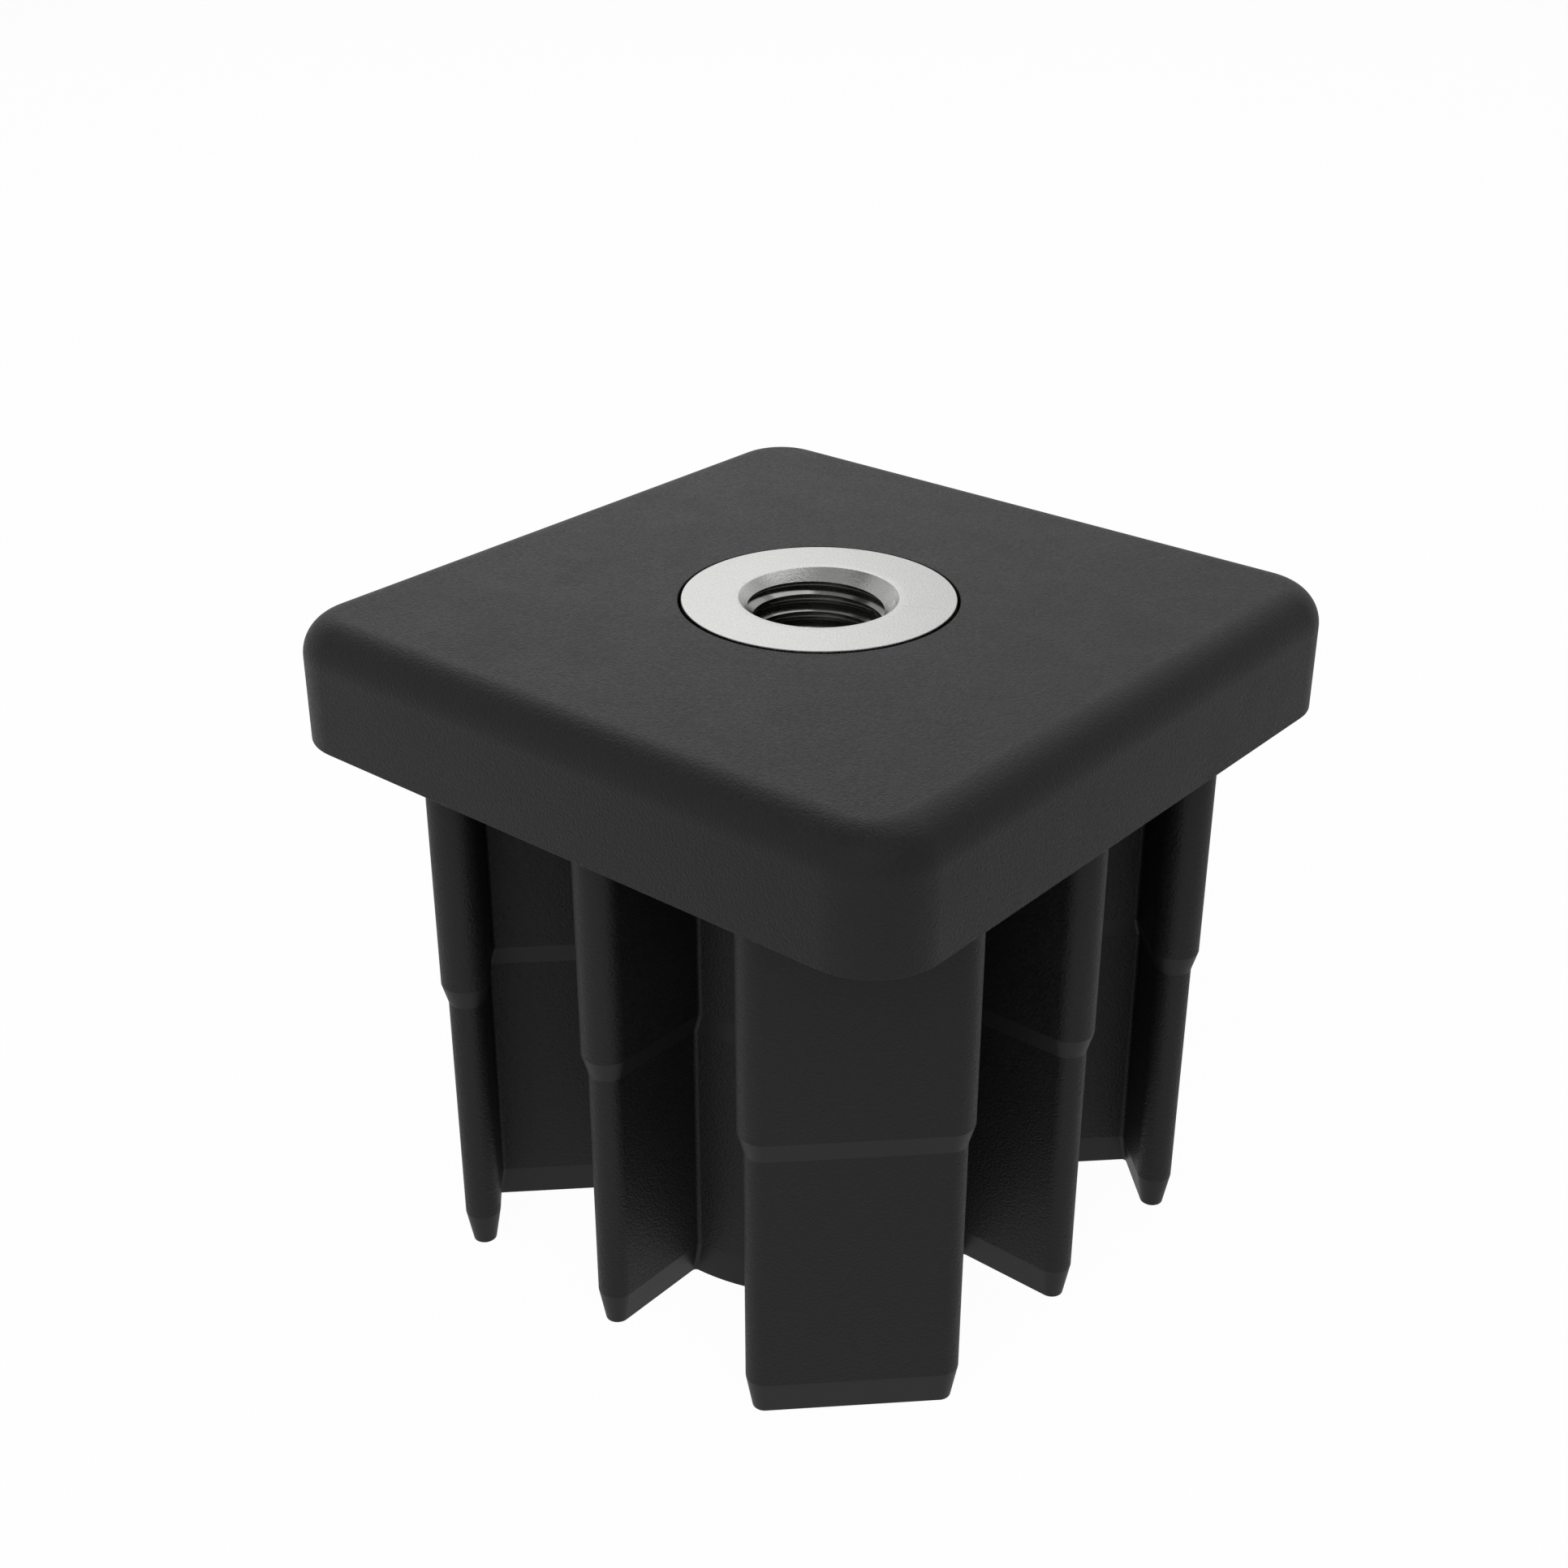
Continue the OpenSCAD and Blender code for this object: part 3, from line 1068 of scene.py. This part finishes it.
@dataclass
class Studio:
    """A white paper bowl under soft lamps, with the camera at the photograph's angle.

    The lamps hang at lamp_distance from the origin. The room level is the grey light
    from above the bowl.
    """

    camera_at: tuple[float, float, float] = (0.066258, -0.081793, 0.049422)
    camera_sight: tuple[float, float, float] = (-0.57293, 0.68275, -0.45345)
    lens: float = 49.86
    sensor_w: float = 36.0
    clip_start: float = 5.0 * MM
    lamp_distance: float = 0.5
    floor_gap: float = 0.02 * MM
    floor_r: float = 0.5
    bowl_r: float = 1.2
    bend_r: float = 0.5
    bowl_rise: float = 1.4
    bend_steps: int = 16
    paper_steps: int = 96
    room_level: float = 0.08
    floor_paper: Paper = Paper("floor_paper", 0.97, 0.75, 0.57, 0.08, 11 * MM)
    wall_paper: Paper = Paper("wall_paper", 0.97, 0.60, 0.49, 1.0)
    lamps: tuple[Lamp, ...] = (
        Lamp("fill_lamp", 30.0, 42.0, 0.6, 2.55, reflected=False),
        Lamp("front_lamp", 20.0, 60.0, 0.7, 0.33),
        Lamp("back_lamp", -124.0, 27.0, 0.34, 0.14),
        Lamp("wide_lamp", -158.0, 34.0, 0.5, 0.19),
        Lamp("top_lamp", -136.0, 60.0, 0.44, 0.25),
        Lamp("high_lamp", 154.0, 67.0, 0.36, 0.33),
    )

    def paper(self, name: str, corners: Sequence[Corner], finish: Paper) -> None:
        """Turn one sheet of the stage from its profile.

        Args:
            name: The name of the sheet.
            corners: The corners of its profile, out from the axis and up.
            finish: The paper that it is made of.
        """
        sheet = turned(name, corners, self.paper_steps)
        make_active(sheet)
        bpy.ops.object.shade_smooth()
        sheet.data.materials.append(finish.material())

    def bowl(self) -> None:
        """Lay the floor, and round it the wall that stands up like a bowl's."""
        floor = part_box("body")[0].z - self.floor_gap
        self.paper("floor", [Corner(0.0, floor), Corner(self.floor_r, floor)], self.floor_paper)
        self.paper(
            "wall",
            [
                Corner(self.floor_r, floor),
                Corner(self.bowl_r, floor, self.bend_r, self.bend_steps),
                Corner(self.bowl_r, floor + self.bowl_rise),
            ],
            self.wall_paper,
        )

    def light(self, lamp: Lamp) -> None:
        """Hang one lamp.

        Args:
            lamp: The lamp's direction from the object, size and power.
        """
        azimuth, elevation = math.radians(lamp.azimuth), math.radians(lamp.elevation)
        away = Vector(
            (
                math.sin(azimuth) * math.cos(elevation),
                -math.cos(azimuth) * math.cos(elevation),
                math.sin(elevation),
            )
        )
        data = bpy.data.lights.new(lamp.name, "AREA")
        data.shape = "DISK"
        data.size = lamp.size
        data.energy = lamp.power
        light = bpy.data.objects.new(lamp.name, data)
        light.location = away * self.lamp_distance
        light.rotation_mode = "QUATERNION"
        light.rotation_quaternion = (-away).to_track_quat("-Z", "Y")
        light.visible_glossy = lamp.reflected
        bpy.context.scene.collection.objects.link(light)

    def sky(self) -> None:
        """Light the room above the bowl, white to the camera and grey to the object."""
        world = bpy.data.worlds.new("room")
        bpy.context.scene.world = world
        world.use_nodes = True
        tree = world.node_tree
        tree.nodes.clear()
        sheet = NodeSheet(tree)
        path = sheet.add("ShaderNodeLightPath").outputs
        grey = sheet.add("ShaderNodeBackground", Color=WHITE, Strength=self.room_level)
        white = sheet.add("ShaderNodeBackground", Color=WHITE, Strength=1.0)
        mix = sheet.add(
            "ShaderNodeMixShader", i0=path["Is Camera Ray"], i1=grey.outputs[0], i2=white.outputs[0]
        )
        sheet.add("ShaderNodeOutputWorld", Surface=mix.outputs[0])

    def camera(self) -> None:
        """Place the camera as the photograph was taken."""
        data = bpy.data.cameras.new("camera")
        data.lens = self.lens
        data.sensor_width = self.sensor_w
        data.clip_start = self.clip_start
        camera = bpy.data.objects.new("camera", data)
        camera.location = self.camera_at
        camera.rotation_mode = "QUATERNION"
        camera.rotation_quaternion = Vector(self.camera_sight).to_track_quat("-Z", "Y")
        bpy.context.scene.collection.objects.link(camera)
        bpy.context.scene.camera = camera

    def build(self) -> None:
        """Set up the floor, the lamps, the room and the camera."""
        bpy.context.scene.view_settings.view_transform = "Standard"
        self.bowl()
        self.sky()
        for lamp in self.lamps:
            self.light(lamp)
        self.camera()


def report(piece: bpy.types.Object) -> None:
    """Log what a finished piece is made of.

    Args:
        piece: The finished mesh object.
    """
    mesh = bmesh.new()
    mesh.from_mesh(piece.data)
    triangles = sum(len(face.verts) - 2 for face in mesh.faces)
    loose = sum(not edge.is_manifold for edge in mesh.edges)
    volume = mesh.calc_volume(signed=True) / MM**3
    mesh.free()
    log.info("%s: %d triangles, %d open edges, %.1f mm3", piece.name, triangles, loose, volume)


def main() -> None:
    """Build the studio and the insert's pieces in order."""
    logging.basicConfig(level=logging.INFO, format="%(name)s: %(message)s")
    Studio().build()
    for part in (Plug(), Bush()):
        report(part.build())


if __name__ == "__main__":
    main()
